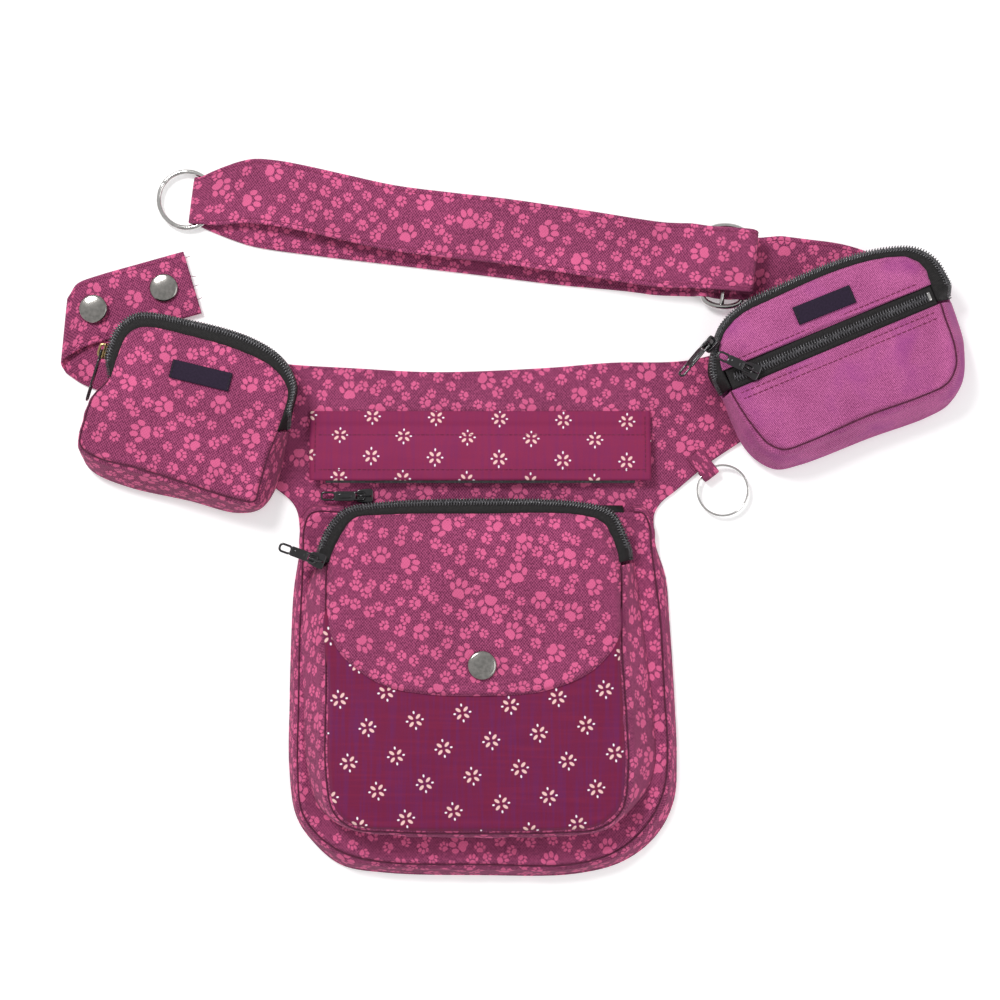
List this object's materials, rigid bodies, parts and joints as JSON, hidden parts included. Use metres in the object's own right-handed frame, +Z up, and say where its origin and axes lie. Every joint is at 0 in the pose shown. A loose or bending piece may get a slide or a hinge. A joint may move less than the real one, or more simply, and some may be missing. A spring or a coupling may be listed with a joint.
{
  "type": "pouch bag",
  "caption": "Hip belt pouch bag lying flat: a main zip bag with snap flap, two belt pouches, a snap strap and a long adjustable strap.",
  "frame": {"origin": "on the floor under the upper middle of the main bag, on the underside of its back", "axes": "+Z up out of the front of the bag, +X along the belt to the wearer's left, +Y from the main bag to the long strap"},
  "size_m": [0.4811, 0.382, 0.0382],
  "materials": {
    "paw_canvas": "woven canvas printed with pink paw prints",
    "plum_cotton": "plum shot cotton printed with small pale flowers",
    "magenta_canvas": "plain magenta twill canvas",
    "black_tape": "black zip tape with a nylon coil",
    "black_label": "black woven label, bare",
    "black_metal": "black lacquered zip metal",
    "bright_metal": "bright nickel plate"
  },
  "bodies": {
    "bag": {"back_panel": "paw_canvas", "rear_compartment": "paw_canvas", "rear_zip": "black_tape", "rear_slider": "black_metal", "front_compartment": "paw_canvas", "front_zip": "black_tape", "front_slider": "black_metal", "slip_pocket": "plum_cotton", "flap": "paw_canvas", "flap_snap": "bright_metal", "covered_zip": "black_tape", "covered_slider": "black_metal", "zip_cover": "plum_cotton", "left_pouch_back": "paw_canvas", "left_pouch": "paw_canvas", "left_pouch_zip": "black_tape", "left_pouch_slider": "black_metal", "left_pouch_label": "black_label", "right_pouch_back": "magenta_canvas", "right_pouch": "magenta_canvas", "right_pouch_upper": "magenta_canvas", "right_pouch_top_zip": "black_tape", "right_pouch_top_slider": "black_metal", "right_pouch_front_zip": "black_tape", "right_pouch_front_slider": "black_metal", "right_pouch_label": "black_label", "snap_strap": "paw_canvas", "snap_cap_1": "bright_metal", "snap_cap_2": "bright_metal", "adjustable_strap": "paw_canvas", "o_ring": "bright_metal", "tri_glide": "bright_metal", "key_ring": "bright_metal", "ring_tab": "paw_canvas"},
    "front_pull": {"front_pull": "black_metal"},
    "rear_pull": {"rear_pull": "black_metal"},
    "left_pouch_pull": {"left_pouch_pull": "black_metal"},
    "right_pouch_top_pull": {"right_pouch_top_pull": "black_metal"},
    "right_pouch_front_pull": {"right_pouch_front_pull": "black_metal"}
  },
  "joints": [
    {"name": "front_pull_hinge", "type": "hinge", "parent": "bag", "child": "front_pull", "pos_m": [-0.09832, -0.0218, 0.02641], "axis": [0.342, 0.9397, 0], "range_deg": [0, 110]},
    {"name": "rear_pull_hinge", "type": "hinge", "parent": "bag", "child": "rear_pull", "pos_m": [-0.07449, 0.01157, 0.0056], "axis": [0, 1, 0], "range_deg": [0, 110]},
    {"name": "left_pouch_pull_hinge", "type": "hinge", "parent": "bag", "child": "left_pouch_pull", "pos_m": [-0.21204, 0.08839, 0.0172], "axis": [0, 0, -1], "range_deg": [0, 110]},
    {"name": "right_pouch_top_pull_hinge", "type": "hinge", "parent": "bag", "child": "right_pouch_top_pull", "pos_m": [0.10621, 0.09174, 0.02834], "axis": [-0.4924, 0.4132, -0.766], "range_deg": [0, 110]},
    {"name": "right_pouch_front_pull_hinge", "type": "hinge", "parent": "bag", "child": "right_pouch_front_pull", "pos_m": [0.12859, 0.07692, 0.03363], "axis": [0.4226, 0.9063, 0], "range_deg": [0, 110]}
  ]
}
